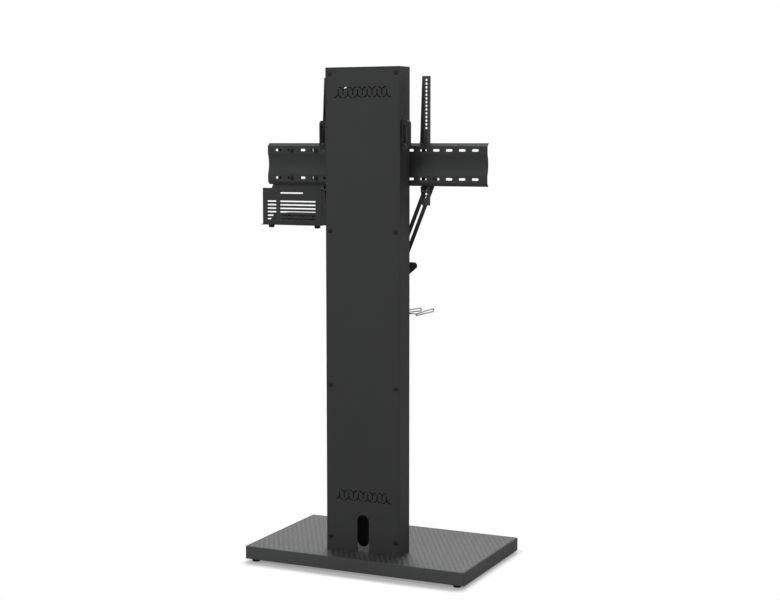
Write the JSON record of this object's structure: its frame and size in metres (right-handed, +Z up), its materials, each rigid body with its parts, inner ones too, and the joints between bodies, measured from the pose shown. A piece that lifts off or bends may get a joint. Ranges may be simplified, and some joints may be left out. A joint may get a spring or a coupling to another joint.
{
  "type": "tv floor stand",
  "caption": "Upright floor stand for a flat screen: box column on a flat base, slotted rail with hook-on arms that slides for height, side media tray and folding wire rack.",
  "frame": {"origin": "centre of the bounding box's footprint, on the floor", "axes": "+Z up, -Y to the front of the stand where the screen hangs, +X to the right seen from the front"},
  "size_m": [0.6984, 0.414, 1.388],
  "materials": {
    "charcoal_powder_coat": "fine satin powder coat",
    "woven_mat": "woven texture",
    "black_rubber": "matte",
    "zinc_plate": "zinc plated",
    "zinc_screws": "zinc plated",
    "black_screws": "black oxide",
    "glide_plastic": "smooth",
    "black_plastic": "smooth",
    "bright_wire": "plated wire"
  },
  "bodies": {
    "stand": {"base_shell": "charcoal_powder_coat", "base_mat": "woven_mat", "base_ribs": "zinc_plate", "base_bottom_plate": "charcoal_powder_coat", "base_bottom_screws": "zinc_screws", "rubber_feet": "black_rubber", "foot_screws": "zinc_screws", "column_front_panel": "charcoal_powder_coat", "column_side_left": "charcoal_powder_coat", "column_side_right": "charcoal_powder_coat", "column_cover_strips": "charcoal_powder_coat", "column_foot_bracket": "zinc_plate", "column_bolts": "zinc_screws", "column_cap": "charcoal_powder_coat", "back_cover": "charcoal_powder_coat", "cover_screws": "black_screws", "cable_loop_left": "black_plastic", "cable_loop_right": "black_plastic", "loop_screws": "zinc_screws"},
    "carriage": {"carriage_plate": "charcoal_powder_coat", "carriage_glide_pads": "glide_plastic", "carriage_clamp_plate": "zinc_plate", "carriage_studs": "zinc_screws", "tv_rail": "charcoal_powder_coat", "rail_bolts": "black_screws", "media_box_back_plate": "charcoal_powder_coat", "media_tray": "charcoal_powder_coat", "tray_bumpers": "black_rubber", "tray_screws": "black_screws", "media_box_spacers": "black_screws", "media_box_bolts": "black_screws", "media_box_nuts": "black_screws", "hanger_bracket_left": "charcoal_powder_coat", "hanger_bracket_right": "charcoal_powder_coat", "hanger_slot_nut": "black_screws", "hanger_slot_screw": "black_screws", "hanger_bar_left": "charcoal_powder_coat", "hanger_bar_right": "charcoal_powder_coat", "hanger_plate": "charcoal_powder_coat", "hanger_bolts": "black_screws"},
    "arm_left": {"screen_arm_left": "charcoal_powder_coat"},
    "arm_right": {"screen_arm_right": "charcoal_powder_coat"},
    "lock_screw_left": {"arm_lock_screw_left": "black_screws"},
    "lock_screw_right": {"arm_lock_screw_right": "black_screws"},
    "rack": {"wire_rack": "bright_wire"}
  },
  "joints": [
    {"name": "height_slide", "type": "slide", "parent": "stand", "child": "carriage", "axis": [0, 0, 1], "range_m": [-0.2, 0.1]},
    {"name": "arm_left_slide", "type": "slide", "parent": "carriage", "child": "arm_left", "axis": [1, 0, 0], "range_m": [0, 0.05]},
    {"name": "arm_right_slide", "type": "slide", "parent": "carriage", "child": "arm_right", "axis": [-1, 0, 0], "range_m": [0, 0.05]},
    {"name": "lock_screw_left_travel", "type": "slide", "parent": "arm_left", "child": "lock_screw_left", "axis": [0, 0, -1], "range_m": [0, 0.005]},
    {"name": "lock_screw_right_travel", "type": "slide", "parent": "arm_right", "child": "lock_screw_right", "axis": [0, 0, -1], "range_m": [0, 0.005]},
    {"name": "rack_fold", "type": "hinge", "parent": "carriage", "child": "rack", "pos_m": [-0.01375, 0.025, 0.71], "axis": [-1, 0, 0], "range_deg": [0, 90]}
  ]
}
